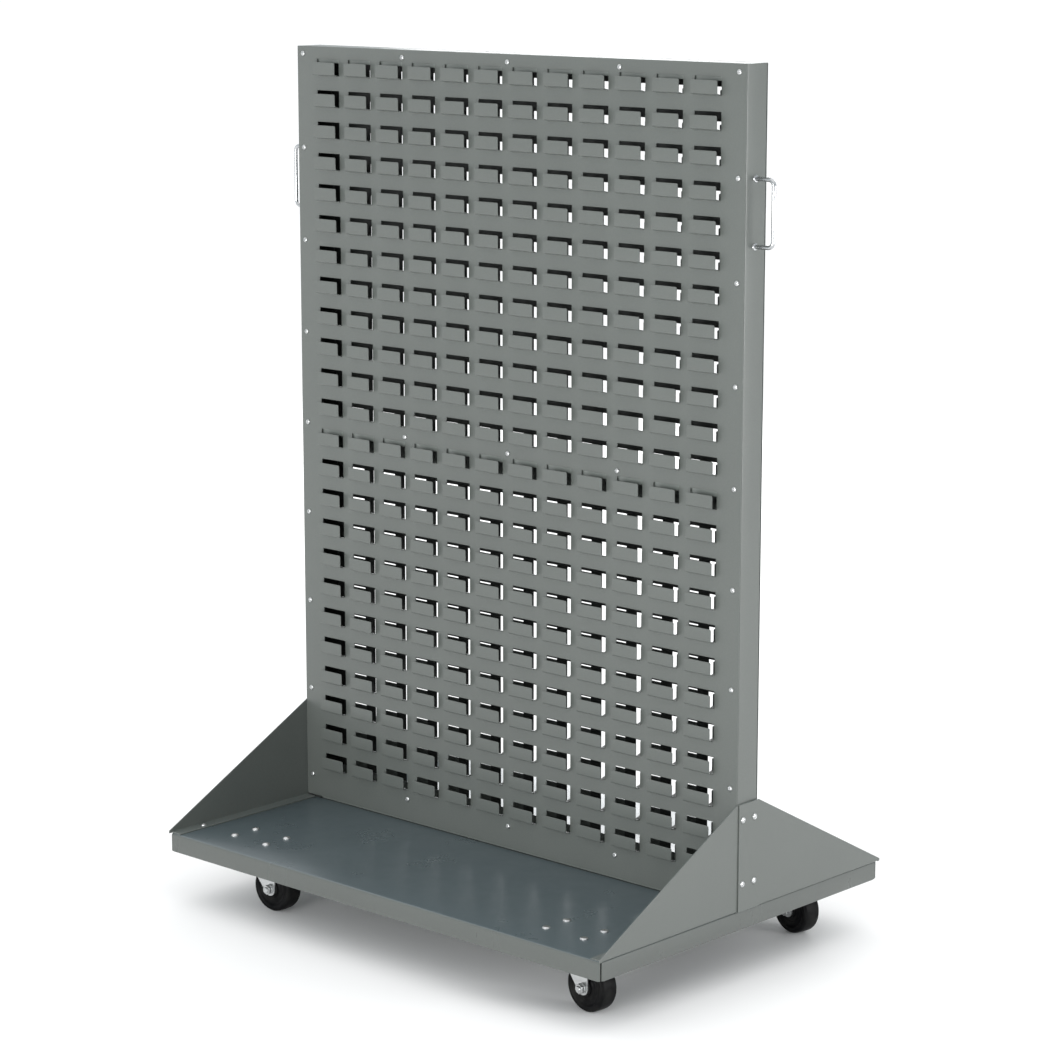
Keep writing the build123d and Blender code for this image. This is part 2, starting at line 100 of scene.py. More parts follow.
# ---- materials ----
class Nodes:
    """A short way to wire a material's nodes."""

    def __init__(self, name, metallic, roughness):
        self.material = bpy.data.materials.new(name)
        self.material.use_nodes = True
        self.tree = self.material.node_tree
        self.shader = self.tree.nodes["Principled BSDF"]
        self.shader.inputs["Metallic"].default_value = metallic
        self.shader.inputs["Roughness"].default_value = roughness
        self.place = self.add("ShaderNodeTexCoord").outputs["Object"]

    def add(self, kind, **values):
        node = self.tree.nodes.new(kind)
        for name, value in values.items():
            setattr(node, name, value)
        return node

    def link(self, source, target):
        self.tree.links.new(source, target)

    def noise(self, scale, detail=3.0, rough=0.5, stretch=(1, 1, 1)):
        """Noise in the object's own metres; stretch draws it out along an axis."""
        node = self.add("ShaderNodeTexNoise")
        node.inputs["Scale"].default_value = scale
        node.inputs["Detail"].default_value = detail
        node.inputs["Roughness"].default_value = rough
        mapping = self.add("ShaderNodeMapping")
        mapping.inputs["Scale"].default_value = stretch
        self.link(self.place, mapping.inputs["Vector"])
        self.link(mapping.outputs["Vector"], node.inputs["Vector"])
        return node.outputs["Fac"]

    def spread(self, source, low, high, start=0.3, end=0.7):
        """Maps a noise to a range of numbers."""
        node = self.add("ShaderNodeMapRange")
        node.inputs["From Min"].default_value = start
        node.inputs["From Max"].default_value = end
        node.inputs["To Min"].default_value = low
        node.inputs["To Max"].default_value = high
        self.link(source, node.inputs["Value"])
        return node.outputs["Result"]

    def upward(self):
        """How far the surface faces up, from -1 to 1."""
        split = self.add("ShaderNodeSeparateXYZ")
        self.link(self.add("ShaderNodeNewGeometry").outputs["Normal"], split.inputs["Vector"])
        return split.outputs["Z"]

    def painted_light_region(self):
        """One on the faces within the upright frame and nought elsewhere: where shade is painted into the
        enamel's colour, or light on the rails.
        """
        split = self.add("ShaderNodeSeparateXYZ")
        self.link(self.place, split.inputs["Vector"])
        limits = (("X", HALF_WIDTH - 0.7 * MM), ("Y", UPRIGHT_HALF - 0.6 * MM))
        tests = []
        for axis, limit in limits:
            size = self.add("ShaderNodeMath", operation="ABSOLUTE")
            self.link(split.outputs[axis], size.inputs[0])
            test = self.add("ShaderNodeMath", operation="LESS_THAN")
            self.link(size.outputs[0], test.inputs[0])
            test.inputs[1].default_value = limit
            tests.append(test.outputs[0])
        both = self.add("ShaderNodeMath", operation="MULTIPLY")
        for socket, test in zip(both.inputs, tests):
            self.link(test, socket)
        return both.outputs[0]

    def ramp(self, source, stops):
        """Maps a noise to colours: stops are (position, colour)."""
        node = self.add("ShaderNodeValToRGB")
        elements = node.color_ramp.elements
        while len(elements) < len(stops):
            elements.new(0.5)
        for element, (position, colour) in zip(elements, stops):
            element.position = position
            element.color = (*colour, 1)
        self.link(source, node.inputs["Fac"])
        return node.outputs["Color"]

    def mix(self, factor, first, second, mode="MIX"):
        node = self.add("ShaderNodeMix", data_type="RGBA", blend_type=mode)
        sockets = (node.inputs["Factor"], node.inputs[6], node.inputs[7])
        for socket, value in zip(sockets, (factor, first, second)):
            if isinstance(value, bpy.types.NodeSocket):
                self.link(value, socket)
            elif isinstance(value, tuple):
                socket.default_value = (*value, 1)
            else:
                socket.default_value = value
        return node.outputs[2]

    def bumps(self, layers):
        """Stacks bump layers of (height, strength, distance in metres)."""
        normal = None
        for height, strength, distance in layers:
            node = self.add("ShaderNodeBump")
            node.inputs["Strength"].default_value = strength
            node.inputs["Distance"].default_value = distance
            self.link(height, node.inputs["Height"])
            if normal is not None:
                self.link(normal, node.inputs["Normal"])
            normal = node.outputs["Normal"]
        self.link(normal, self.shader.inputs["Normal"])

    def colour(self, source):
        self.link(source, self.shader.inputs["Base Color"])

    def roughness(self, source):
        self.link(source, self.shader.inputs["Roughness"])


def scaled(colour, factor):
    return tuple(channel * factor for channel in colour)


def enamel(name, colour, gloss, painted_top_light=(1, 1, 1), painted_light_inside=0.3):
    """Baked gray enamel: slight cloudiness, fine fleck and orange peel.

    The top tint multiplies the upward faces, painted light and painted reflection; faces within the upright
    frame take the colour times a factor, painted shade there and painted light on the rails.
    """
    nodes = Nodes(name, 0.0, gloss)
    cloud = nodes.noise(2.2, 4)
    fleck = nodes.noise(900, 2)
    smear = nodes.noise(14, 5, 0.6, (1, 1, 0.25))
    base = nodes.ramp(cloud, [(0.3, scaled(colour, 0.94)), (0.7, scaled(colour, 1.05))])
    specks = nodes.ramp(fleck, [(0.35, (0.93, 0.93, 0.93)), (0.65, (1.04, 1.04, 1.04))])
    paint = nodes.mix(1.0, base, specks, "MULTIPLY")
    # painted shade within the upright frame: the colour there is scaled by a factor, darker on most enamel
    # and lighter on the rails
    paint = nodes.mix(nodes.painted_light_region(), paint, scaled(colour, painted_light_inside))
    # painted light on upward faces: the top tint is multiplied in where a face turns up
    top_light_mask = nodes.spread(nodes.upward(), 0.0, 1.0, 0.6, 0.95)
    nodes.colour(nodes.mix(top_light_mask, paint, nodes.mix(1.0, paint, painted_top_light, "MULTIPLY")))
    nodes.roughness(nodes.spread(smear, gloss - 0.05, gloss + 0.08))
    peel = nodes.noise(420, 2, 0.45)
    wave = nodes.noise(9, 2)
    nodes.bumps([(peel, 0.18, 0.00012), (wave, 0.25, 0.0012)])
    nodes.shader.inputs["Specular IOR Level"].default_value = 0.5
    nodes.shader.inputs["Coat Weight"].default_value = 0.25
    nodes.shader.inputs["Coat Roughness"].default_value = 0.22
    return nodes.material


def bright_zinc(name, colour, gloss, grain):
    """Zinc-plated steel: cloudy plating with fine drawn lines."""
    nodes = Nodes(name, 1.0, gloss)
    cloud = nodes.noise(60, 4, 0.6)
    drawn = nodes.noise(700, 3, 0.6, grain)
    base = nodes.ramp(cloud, [(0.3, scaled(colour, 0.82)), (0.7, colour)])
    lines = nodes.ramp(drawn, [(0.3, (0.9, 0.9, 0.9)), (0.7, (1.0, 1.0, 1.0))])
    nodes.colour(nodes.mix(1.0, base, lines, "MULTIPLY"))
    nodes.roughness(nodes.spread(drawn, gloss - 0.06, gloss + 0.1))
    nodes.bumps([(drawn, 0.12, 0.0001), (cloud, 0.1, 0.0003)])
    return nodes.material


def moulded_rubber(name):
    """Black moulded rubber with a dull skin and a little dust."""
    nodes = Nodes(name, 0.0, 0.45)
    dust = nodes.noise(45, 5, 0.65)
    skin = nodes.noise(1100, 3)
    black = (0.004, 0.004, 0.0045)
    gray = (0.016, 0.016, 0.015)
    nodes.colour(nodes.ramp(dust, [(0.42, black), (0.75, gray)]))
    nodes.roughness(nodes.spread(dust, 0.34, 0.55))
    nodes.shader.inputs["Specular IOR Level"].default_value = 0.05
    nodes.bumps([(skin, 0.25, 0.00015), (dust, 0.1, 0.0005)])
    return nodes.material


GRAY = (0.087, 0.096, 0.089)
enamel_gray = enamel("gray_enamel", GRAY, 0.36)
# the shelf: a darker copy of the gray enamel, painted shade, with a painted bluish reflection of the sky on
# its upward faces
enamel_shelf = enamel("gray_enamel_shelf", scaled(GRAY, 0.84), 0.3, (0.96, 1.16, 1.38))
# the rails: a lighter copy of the gray enamel, made lighter again within the frame: painted light where they
# show through the louvre gaps
enamel_rail = enamel("gray_enamel_rail", scaled(GRAY, 1.3), 0.36, painted_light_inside=1.3)
# the braces: upward faces lightened, a painted highlight on their feet
enamel_brace = enamel("gray_enamel_brace", GRAY, 0.36, (1.35, 1.38, 1.42))
zinc_screw = bright_zinc("zinc_screw", (0.62, 0.63, 0.63), 0.3, (1, 1, 1))
zinc_wire = bright_zinc("zinc_wire", (0.55, 0.56, 0.57), 0.22, (1, 1, 0.1))
zinc_plate = bright_zinc("zinc_plate", (0.66, 0.67, 0.67), 0.32, (1, 1, 0.15))
rubber_black = moulded_rubber("rubber_black")


# ---- mesh helpers ----
def make_object(name, verts, faces):
    mesh = bpy.data.meshes.new(name)
    mesh.from_pydata([tuple(v) for v in verts], [], [tuple(f) for f in faces])
    mesh.validate()
    obj = bpy.data.objects.new(name, mesh)
    bpy.context.scene.collection.objects.link(obj)
    return obj


def finish_mesh(obj, angle=38):
    """Applies the modifiers and shades it smooth up to an angle."""
    bpy.context.view_layer.update()
    graph = bpy.context.evaluated_depsgraph_get()
    mesh = bpy.data.meshes.new_from_object(obj.evaluated_get(graph))
    obj.modifiers.clear()
    obj.data = mesh
    mesh.shade_smooth()
    mesh.set_sharp_from_angle(angle=math.radians(angle))


def thicken(obj, thickness, edge=0.00025):
    """Gives a folded surface its sheet thickness, inwards from its normals, and breaks the sheared edges."""
    solid = obj.modifiers.new("sheet", "SOLIDIFY")
    solid.thickness = thickness
    solid.offset = -1
    solid.use_even_offset = True
    soft_edges(obj, edge, 1)


def soft_edges(obj, width, segments):
    bevel = obj.modifiers.new("edges", "BEVEL")
    bevel.width = width
    bevel.segments = segments
    bevel.limit_method = "ANGLE"
    bevel.angle_limit = math.radians(50)
    bevel.use_clamp_overlap = True


def weld(obj):
    """Joins the places where a surface's parts meet."""
    obj.modifiers.new("weld", "WELD").merge_threshold = 0.00001


def add_part(obj, part):
    """Bakes an object's modifiers and adds one more closed shape to its mesh."""
    finish_mesh(obj)
    extra = bpy.data.meshes.new("part")
    extra.from_pydata([tuple(v) for v in part[0]], [], part[1])
    both = bmesh.new()
    both.from_mesh(obj.data)
    both.from_mesh(extra)
    both.to_mesh(obj.data)
    both.free()
    bpy.data.meshes.remove(extra)


def settle(obj, material, body, slot, *replaced):
    """Finishes a piece: its mesh, material, body and the CAD nodes it stands for. The slot is not used."""
    finish_mesh(obj)
    obj.data.materials.clear()
    obj.data.materials.append(material)
    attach(obj, body)
    for node in replaced:
        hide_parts(node)
    return obj


def rounded(points, radius, steps=5):
    """A 2-D path with its inner corners rounded by arcs."""
    path = [Vector(points[0])]
    for before, corner, after in zip(points, points[1:], points[2:]):
        before, corner, after = Vector(before), Vector(corner), Vector(after)
        a = (before - corner).normalized()
        b = (after - corner).normalized()
        half = a.angle(b) / 2
        reach = radius / math.tan(half)
        centre = corner + (a + b).normalized() * (radius / math.sin(half))
        start = corner + a * reach - centre
        end = corner + b * reach - centre
        turn = start.angle_signed(end)
        for step in range(steps + 1):
            spin = Matrix.Rotation(-turn * step / steps, 2)
            path.append(centre + spin @ start)
    path.append(Vector(points[-1]))
    return path


def sweep_path(path, to_point, ends):
    """Quads along a 2-D path, between two or more stations."""
    verts = [to_point(p, end) for end in ends for p in path]
    n = len(path)
    faces = []
    for k in range(len(ends) - 1):
        for i in range(n - 1):
            faces.append((k * n + i, k * n + i + 1, (k + 1) * n + i + 1, (k + 1) * n + i))
    return verts, faces


def join(parts):
    """Joins (verts, faces) pairs into one."""
    verts, faces = [], []
    for part_verts, part_faces in parts:
        base = len(verts)
        verts.extend(part_verts)
        faces.extend(tuple(i + base for i in face) for face in part_faces)
    return verts, faces


def placed(part, matrix):
    verts, faces = part
    if matrix.determinant() < 0:
        faces = [tuple(reversed(face)) for face in faces]
    return [matrix @ Vector(v) for v in verts], faces


def lathe(profile, steps=40):
    """Turns a closed loop of (radius, height) points about +Z. Points on the axis are shared."""
    verts, rings = [], []
    for radius, height in profile:
        if radius < 1e-7:
            rings.append([len(verts)] * steps)
            verts.append(Vector((0, 0, height)))
        else:
            rings.append(list(range(len(verts), len(verts) + steps)))
            for k in range(steps):
                a = 2 * math.pi * k / steps
                verts.append(Vector((radius * math.cos(a), radius * math.sin(a), height)))
    faces = []
    for low, high in zip(rings, rings[1:] + rings[:1]):
        for k in range(steps):
            m = (k + 1) % steps
            face = []
            for i in (low[k], low[m], high[m], high[k]):
                if i not in face:
                    face.append(i)
            if len(face) > 2:
                faces.append(tuple(face))
    return verts, faces


def hexagon(across_flats, height, bore, chamfer):
    """A chamfered hexagon nut, or a bolt head where bore is 0, standing on z = 0."""
    steps = 36
    corner = across_flats / 2 / math.cos(math.pi / 6)

    def ring(limit, z):
        points = []
        for k in range(steps):
            a = 2 * math.pi * k / steps
            flat = (a + math.pi / 6) % (math.pi / 3) - math.pi / 6
            r = min(across_flats / 2 / math.cos(flat), limit)
            points.append(Vector((r * math.cos(a), r * math.sin(a), z)))
        return points

    flat_radius = across_flats / 2 * 0.96
    outline = ((flat_radius, 0), (corner, chamfer), (corner, height - chamfer), (flat_radius, height))
    rings = [ring(limit, z) for limit, z in outline]
    inner = max(bore, 1e-6)
    turns = [2 * math.pi * k / steps for k in range(steps)]
    round_ring = [(math.cos(turn), math.sin(turn)) for turn in turns]
    rings.append([Vector((inner * c, inner * s, height)) for c, s in round_ring])
    rings.append([Vector((inner * c, inner * s, 0)) for c, s in round_ring])
    verts = [v for r in rings for v in r]
    faces = []
    for r in range(len(rings)):
        n = (r + 1) % len(rings)
        for k in range(steps):
            m = (k + 1) % steps
            faces.append((r * steps + k, r * steps + m, n * steps + m, n * steps + k))
    return verts, faces


def upright_on(point, normal):
    """A matrix that stands +Z of a shape on a surface point."""
    turn = Vector(normal).to_track_quat("Z", "X")
    return Matrix.Translation(Vector(point)) @ turn.to_matrix().to_4x4()


def pan_screw(radius, height, length):
    """A pan head with a cross recess, standing on z = 0 with its shank below."""
    rings = 9
    shank = radius * 0.45
    profile = [(0, -length), (shank, -length), (shank, 0), (radius, 0), (radius, height * 0.3)]
    for k in range(1, rings + 1):
        r = radius * (1 - k / rings)
        profile.append((r, height * (0.3 + 0.7 * math.sqrt(max(0.0, 1 - (r / radius) ** 2)))))
    verts, faces = lathe(profile, 32)
    arm, reach = radius * 0.16, radius * 0.58
    for v in verts:
        across = min(abs(v.x), abs(v.y))
        along = max(abs(v.x), abs(v.y))
        if v.z > height * 0.5 and across < arm and along < reach:
            v.z -= height * 0.55 * (1 - along / reach * 0.5)
    return verts, faces


def tube(points, radius, steps=18):
    """A round bar along 3-D points, with flat ends."""
    points = [Vector(p) for p in points]
    verts, faces = [], []
    side = Vector((0, 1, 0))
    for i, point in enumerate(points):
        ahead = points[min(i + 1, len(points) - 1)] - points[max(i - 1, 0)]
        ahead.normalize()
        other = ahead.cross(side).normalized()
        for k in range(steps):
            a = 2 * math.pi * k / steps
            verts.append(point + (side * math.cos(a) + other * math.sin(a)) * radius)
    for i in range(len(points) - 1):
        for k in range(steps):
            m = (k + 1) % steps
            faces.append((i * steps + k, i * steps + m, (i + 1) * steps + m, (i + 1) * steps + k))
    last = (len(points) - 1) * steps
    faces.append(tuple(reversed(range(steps))))
    faces.append(tuple(range(last, last + steps)))
    return verts, faces


# ---- louvered panels ----
def tab_profile():
    """The tab's side view as (distance out of the sheet, height above the window's lower edge)."""
    top = WINDOW_HEIGHT - TAB_TOP_GAP
    corners = [(0, 0), (TAB_REACH, TAB_SLANT), (TAB_REACH, top)]
    return rounded(corners, 2.2 * MM, 5)


def louver_sheet(shift):
    """One panel's outer skin: a grid of quads with a window and a lanced tab at every louvre."""
    front = -UPRIGHT_HALF
    half = WINDOW_WIDTH / 2
    columns = [(k - (COLUMNS - 1) / 2) * COLUMN_PITCH for k in range(COLUMNS)]
    first = PANEL_TOP - FIRST_ROW_DROP - WINDOW_HEIGHT - shift
    lows = [first - k * ROW_PITCH for k in range(ROWS)]
    lows.reverse()
    xs = [-HALF_WIDTH] + [x + s * half for x in columns for s in (-1, 1)] + [HALF_WIDTH]
    zs = [PANEL_BOTTOM] + [z + h for z in lows for h in (0, WINDOW_HEIGHT)] + [PANEL_TOP]
    verts = [Vector((x, front, z)) for z in zs for x in xs]
    wide = len(xs)
    faces = []
    corner = 1.6 * MM
    profile = tab_profile()
    for j in range(len(zs) - 1):
        for i in range(wide - 1):
            low_left = j * wide + i
            quad = [low_left, low_left + 1, low_left + 1 + wide, low_left + wide]
            window = i % 2 and j % 2
            below_window = i % 2 and j % 2 == 0 and j < len(zs) - 2
            if window:
                continue
            if not below_window:
                faces.append(quad)
                continue
            # the tab grows from this strip's upper edge, which gets two more points
            left, right = verts[quad[3]], verts[quad[2]]
            inner = [len(verts), len(verts) + 1]
            verts.append(left + Vector((corner, 0, 0)))
            verts.append(right - Vector((corner, 0, 0)))
            faces.append(quad[:3] + [inner[1], inner[0]] + quad[3:])
            row = [quad[3], inner[0], inner[1], quad[2]]
            for out, up in profile[1:]:
                next_row = list(range(len(verts), len(verts) + 4))
                outermost = up >= profile[-1][1] - 1e-6
                for k, x in enumerate((left.x, left.x + corner, right.x - corner, right.x)):
                    drop = corner * 0.8 if outermost and k in (0, 3) else 0
                    verts.append(Vector((x, front - out, left.z + up - drop)))
                for k in range(3):
                    faces.append((row[k], row[k + 1], next_row[k + 1], next_row[k]))
                row = next_row
    return verts, faces


def louver_panels():
    for name, turn, shift in (("front", 0, 0), ("rear", math.pi, REAR_ROW_SHIFT)):
        verts, faces = placed(louver_sheet(shift), Matrix.Rotation(turn, 4, "Z"))
        panel = make_object(f"louvered_sheet_{name}", verts, faces)
        thicken(panel, PANEL_SHEET, 0.0003)
        settle(panel, enamel_gray, "rack", "gray_enamel", f"louver_panel_{name}")


def panel_screw_places(side):
    """(x, z) of a panel's screws: full rows at the top, middle and bottom, pairs between them."""
    edge = 2 * SCREW_PITCH_X
    inner = SCREW_PITCH_X if side < 0 else 3 * COLUMN_PITCH
    places = []
    for row in range(SCREW_ROWS):
        z = PANEL_TOP - SCREW_DROP - row * 3 * ROW_PITCH
        if side > 0 and row == SCREW_ROWS // 2:
            z -= REAR_MIDDLE_SCREW_SHIFT
        for x in (-edge, -inner, 0, inner, edge) if row % 4 == 0 else (-edge, edge):
            places.append((x, z))
    return places


def panel_screws():
    head = pan_screw(4.0 * MM, 2.2 * MM, 9 * MM)
    for name, side in (("front", -1), ("rear", 1)):
        parts = []
        for count, (x, z) in enumerate(panel_screw_places(side)):
            spin = Matrix.Rotation(count * 0.7, 4, "Z")
            parts.append(placed(head, upright_on((x, side * UPRIGHT_HALF, z), (0, side, 0)) @ spin))
        obj = make_object(f"pan_screws_{name}", *join(parts))
        settle(obj, zinc_screw, "rack", "fastener_zinc", f"panel_screws_{name}")


# ---- upright frame ----
def folded_bar(name, outline, radius, to_point, ends, thickness, replaced, paint):
    """A channel or post folded from sheet: outline is its outer face, with the bends rounded."""
    path = rounded(outline, radius)
    verts, faces = sweep_path(path, to_point, ends)
    bar = make_object(name, verts, faces)
    thicken(bar, thickness)
    return settle(bar, paint, "rack", "gray_enamel", replaced)


def posts():
    half = post_high.y
    flange = post_high.x - post_low.x
    bottom, top = post_low.z, post_high.z
    outline = [(-flange, -half), (0, -half), (0, half), (-flange, half)]
    for name, side in (("left", -1), ("right", 1)):
        # the stations run up on the right and down on the left, so that both faces point outwards
        ends = (bottom, top) if side > 0 else (top, bottom)
        folded_bar(
            f"folded_post_{name}", outline, 2.2 * MM,
            lambda p, z, s=side: Vector((s * (HALF_WIDTH + p[0]), p[1], z)),
            ends, SHEET, f"upright_post_{name}", enamel_gray,
        )


def rails():
    """Channels at the top and bottom and a Z-shaped rail between them."""
    for name in ("top_rail", "middle_rail", "bottom_rail"):
        low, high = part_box(name)
        if name == "middle_rail":
            web = (low.z + high.z - SHEET) / 2
            far = high.y - SHEET
            outline = [(low.y, high.z), (low.y, web), (far, web), (far, low.z)]
        elif name == "top_rail":
            outline = [(high.y, low.z), (high.y, high.z), (low.y, high.z), (low.y, low.z)]
        else:
            outline = [(low.y, high.z), (low.y, low.z), (high.y, low.z), (high.y, high.z)]
        folded_bar(
            f"folded_{name}", outline, 2.2 * MM, lambda p, x: Vector((x, p[0], p[1])),
            (low.x, high.x), SHEET, name, enamel_rail,
        )


def channels():
    for name in ("base_channel_left", "base_channel_right"):
        low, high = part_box(name)
        outline = [(low.x, low.z), (low.x, high.z), (high.x, high.z), (high.x, low.z)]
        folded_bar(
            f"folded_{name}", outline, 3.8 * MM, lambda p, y: Vector((p[0], y, p[1])),
            (low.y, high.y), CHANNEL_SHEET, name, enamel_gray,
        )


# ---- base tray ----
def tray():
    """The shelf with four folded flanges, open at the corners."""
    radius = 3.5 * MM
    bottom, top = tray_low.z, tray_high.z
    corner_gap = 1.2 * MM
    parts = []
    flat_x, flat_y = HALF_WIDTH - radius, HALF_DEPTH - radius
    stations = 24
    xs = np.linspace(-flat_x, flat_x, stations)
    ys = np.linspace(-flat_y, flat_y, stations // 2)
    verts = [Vector((x, y, top)) for y in ys for x in xs]
    faces = []
    for j in range(len(ys) - 1):
        for i in range(stations - 1):
            a = j * stations + i
            faces.append((a, a + 1, a + 1 + stations, a + stations))
    parts.append((verts, faces))
    lip = 6 * MM
    for turn in range(4):
        front_or_rear = turn % 2 == 0
        reach = HALF_DEPTH if front_or_rear else HALF_WIDTH
        along = list(xs) if front_or_rear else list(ys)
        full = HALF_WIDTH - corner_gap if front_or_rear else flat_y
        path = []
        for step in range(7):
            a = math.radians(90 * step / 6)
            path.append((reach - radius + radius * math.sin(a), top - radius + radius * math.cos(a)))
        path += [(reach, bottom + 1.4 * MM), (reach - 0.8 * MM, bottom), (reach - lip, bottom)]
        strip_verts, strip_faces = [], []
        for k, (out, z) in enumerate(path):
            end = full - lip if k >= len(path) - 2 else full
            places = along if k == 0 else [-end] + along[1:-1] + [end]
            strip_verts += [Vector((x, -out, z)) for x in places]
        n = len(along)
        for k in range(len(path) - 1):
            for i in range(n - 1):
                a = k * n + i
                strip_faces.append((a, a + n, a + n + 1, a + 1))
        spin = Matrix.Rotation(turn * math.pi / 2, 4, "Z")
        parts.append(placed((strip_verts, strip_faces), spin))
    obj = make_object("shelf_tray", *join(parts))
    weld(obj)
    thicken(obj, SHEET)
    settle(obj, enamel_shelf, "rack", "gray_enamel", "base_tray")


# ---- gussets ----
def gusset_surface(front):
    """The outer skin of a right-hand brace that points towards +Y."""
    low, high = (gusset_low, gusset_high) if front else (rear_gusset_low, rear_gusset_high)
    outer = high.x
    tip = high.y if not front else -low.y
    lap = low.y if not front else -high.y
    foot_start = UPRIGHT_HALF + 1 * MM
    foot_end = HALF_DEPTH - 2 * MM
    radius = 2.6 * MM
    base, top = low.z, high.z
    outline = [
        (lap, base),
        (foot_start, base),
        (foot_start, base + radius),
        (foot_end, base + radius),
        (foot_end, base),
        (tip, base),
        (tip, base + 4 * MM),
        (UPRIGHT_HALF, top),
        (lap, top),
    ]
    verts = [Vector((outer, y, z)) for y, z in outline]
    plate = (verts, [tuple(range(len(outline)))])
    bend = []
    for step in range(6):
        a = math.radians(90 * step / 5)
        bend.append((outer - radius + radius * math.cos(a), base + radius - radius * math.sin(a)))
    bend.append((HALF_WIDTH - GUSSET_FOOT, base))
    strip = sweep_path(bend, lambda p, y: Vector((p[0], y, p[1])), (foot_start, foot_end))
    return join([plate, strip])


def gussets():
    for front in (True, False):
        surface = gusset_surface(front)
        for side_name, side_x in (("left", -1), ("right", 1)):
            end_name = "front" if front else "rear"
            scale = Matrix.Diagonal((side_x, -1 if front else 1, 1, 1))
            verts, faces = placed(surface, scale)
            obj = make_object(f"brace_{end_name}_{side_name}", verts, faces)
            weld(obj)
            thicken(obj, GUSSET_SHEET)
            settle(obj, enamel_brace, "rack", "gray_enamel", f"gusset_{end_name}_{side_name}")


def gusset_screws():
    head = pan_screw(4.8 * MM, 2.6 * MM, 9 * MM)
    parts = []
    outside = rear_gusset_high.x
    for side in (-1, 1):
        for y in (-13.5 * MM, 13.5 * MM):
            for height in (42 * MM, 140 * MM):
                parts.append(placed(head, upright_on((side * outside, y, SHELF_TOP + height), (side, 0, 0))))
        x = side * (HALF_WIDTH - GUSSET_FOOT / 2)
        for side_y in (-1, 1):
            spot = (x, side_y * (HALF_DEPTH - 60 * MM), SHELF_TOP + GUSSET_SHEET)
            parts.append(placed(head, upright_on(spot, (0, 0, 1))))
    obj = make_object("brace_screws", *join(parts))
    settle(obj, zinc_screw, "rack", "fastener_zinc", "gusset_screws")


# ---- handles ----
def handles():
    for name, side in (("left", -1), ("right", 1)):
        low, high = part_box(f"handle_{name}")
        wire = (high.y - low.y) / 2
        reach = max(abs(low.x), abs(high.x)) - HALF_WIDTH - wire
        bottom, top = low.z + wire, high.z - wire
        path = rounded([(0, bottom), (reach, bottom), (reach, top), (0, top)], 9 * MM, 10)
        points = [(side * (HALF_WIDTH + x), 0, z) for x, z in path]
        bar = tube(points, wire)
        collars = []
        for z in (bottom, top):
            collar = [(wire, 0), (wire + 2.2 * MM, 0), (wire + 1.8 * MM, 1.1 * MM), (wire, 1.4 * MM)]
            ring = lathe(collar, 28)
            collars.append(placed(ring, upright_on((side * HALF_WIDTH, 0, z), (side, 0, 0))))
        obj = make_object(f"wire_pull_{name}", *join([bar] + collars))
        settle(obj, zinc_wire, "rack", "handle_zinc", f"handle_{name}")


# ---- base fasteners ----
def caster_bolt_spots(z):
    """Where the casters' bolts pass a height, four to a caster."""
    return [
        (side_x * CASTER_X + step_x, side_y * CASTER_Y + step_y, z)
        for side_x, side_y, _ in CASTERS.values()
        for step_x in (-BOLT_STEP_X, BOLT_STEP_X)
        for step_y in (-BOLT_STEP_Y, BOLT_STEP_Y)
    ]


def caster_bolts():
    """Domed carriage-bolt heads on the shelf, each on a thin washer rim."""
    tip = -20 * MM
    radius, height, rim = 6.3 * MM, 3.2 * MM, 0.8 * MM
    profile = [(0, tip), (3.3 * MM, tip), (3.9 * MM, tip + 0.8 * MM), (3.9 * MM, 0)]
    profile += [(radius, 0), (radius, rim * 0.6)]
    for step in range(8):
        a = math.radians(90 * step / 8)
        profile.append((radius * 0.96 * math.cos(a), rim + (height - rim) * math.sin(a)))
    profile.append((0, height))
    head = lathe(profile, 36)
    parts = [placed(head, Matrix.Translation(spot)) for spot in caster_bolt_spots(SHELF_TOP)]
    obj = make_object("carriage_bolts", *join(parts))
    settle(obj, zinc_screw, "rack", "fastener_zinc", "caster_bolts")


def caster_nuts():
    nut = hexagon(12.7 * MM, 6.5 * MM, 3.95 * MM, 0.8 * MM)
    under_plate = CASTER_TOP - PLATE_SHEET
    parts = [placed(nut, upright_on(spot, (0, 0, -1))) for spot in caster_bolt_spots(under_plate)]
    obj = make_object("flange_nuts", *join(parts))
    settle(obj, zinc_screw, "rack", "fastener_zinc", "caster_nuts")


